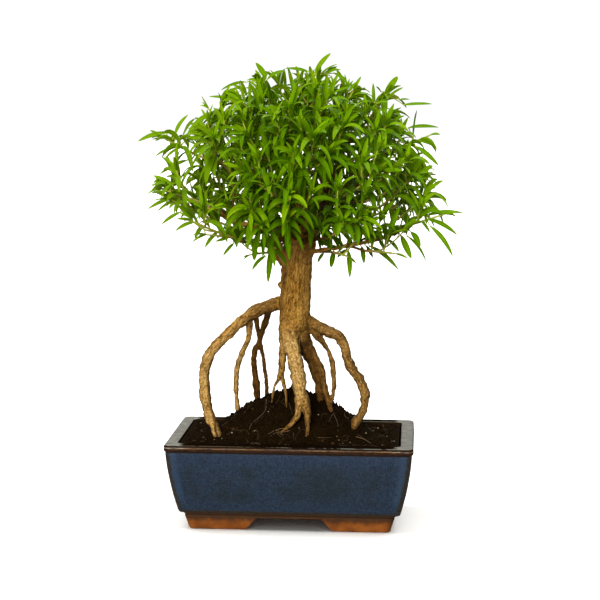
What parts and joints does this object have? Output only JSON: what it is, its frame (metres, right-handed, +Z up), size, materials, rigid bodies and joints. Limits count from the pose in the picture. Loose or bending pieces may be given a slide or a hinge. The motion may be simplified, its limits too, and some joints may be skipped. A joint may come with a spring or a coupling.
{
  "type": "serissa bonsai in pot",
  "caption": "Small exposed-root serissa bonsai: leafy domed crown on a stout trunk with arching aerial roots, in a tapered rectangular glazed pot on clay feet.",
  "frame": {"origin": "middle of the footprint of the whole object, on the surface that it stands on", "axes": "+X to the right along the pot's long side, +Y away from the front view, +Z up"},
  "size_m": [0.1964, 0.1646, 0.2863],
  "materials": {
    "glazed_stoneware": "mottled dark blue glaze, brown where it breaks over the edges, bare terracotta feet",
    "screen_plastic": "moulded mesh",
    "potting_soil": "loose dark peat with fine fibres",
    "bark": "golden tan bark with fine cracks and rings",
    "leafy_shoot": "living green stem and satin leaves"
  },
  "bodies": {
    "root": {"drain_screen_left": "screen_plastic", "drain_screen_right": "screen_plastic", "pot": "glazed_stoneware", "shoot_01": "leafy_shoot", "shoot_02": "leafy_shoot", "shoot_03": "leafy_shoot", "shoot_04": "leafy_shoot", "shoot_05": "leafy_shoot", "shoot_06": "leafy_shoot", "shoot_07": "leafy_shoot", "shoot_08": "leafy_shoot", "shoot_09": "leafy_shoot", "shoot_10": "leafy_shoot", "shoot_11": "leafy_shoot", "shoot_12": "leafy_shoot", "shoot_13": "leafy_shoot", "shoot_14": "leafy_shoot", "shoot_15": "leafy_shoot", "shoot_16": "leafy_shoot", "shoot_17": "leafy_shoot", "shoot_18": "leafy_shoot", "shoot_19": "leafy_shoot", "shoot_20": "leafy_shoot", "shoot_21": "leafy_shoot", "shoot_22": "leafy_shoot", "shoot_23": "leafy_shoot", "shoot_24": "leafy_shoot", "shoot_25": "leafy_shoot", "shoot_26": "leafy_shoot", "shoot_27": "leafy_shoot", "shoot_28": "leafy_shoot", "shoot_29": "leafy_shoot", "shoot_30": "leafy_shoot", "shoot_31": "leafy_shoot", "shoot_32": "leafy_shoot", "shoot_33": "leafy_shoot", "shoot_34": "leafy_shoot", "shoot_35": "leafy_shoot", "shoot_36": "leafy_shoot", "shoot_37": "leafy_shoot", "shoot_38": "leafy_shoot", "shoot_39": "leafy_shoot", "shoot_40": "leafy_shoot", "shoot_41": "leafy_shoot", "shoot_42": "leafy_shoot", "shoot_43": "leafy_shoot", "shoot_44": "leafy_shoot", "shoot_45": "leafy_shoot", "shoot_46": "leafy_shoot", "shoot_47": "leafy_shoot", "shoot_48": "leafy_shoot", "shoot_49": "leafy_shoot", "shoot_50": "leafy_shoot", "shoot_51": "leafy_shoot", "shoot_52": "leafy_shoot", "soil": "potting_soil", "trunk_roots_branches": "bark"}
  },
  "joints": []
}
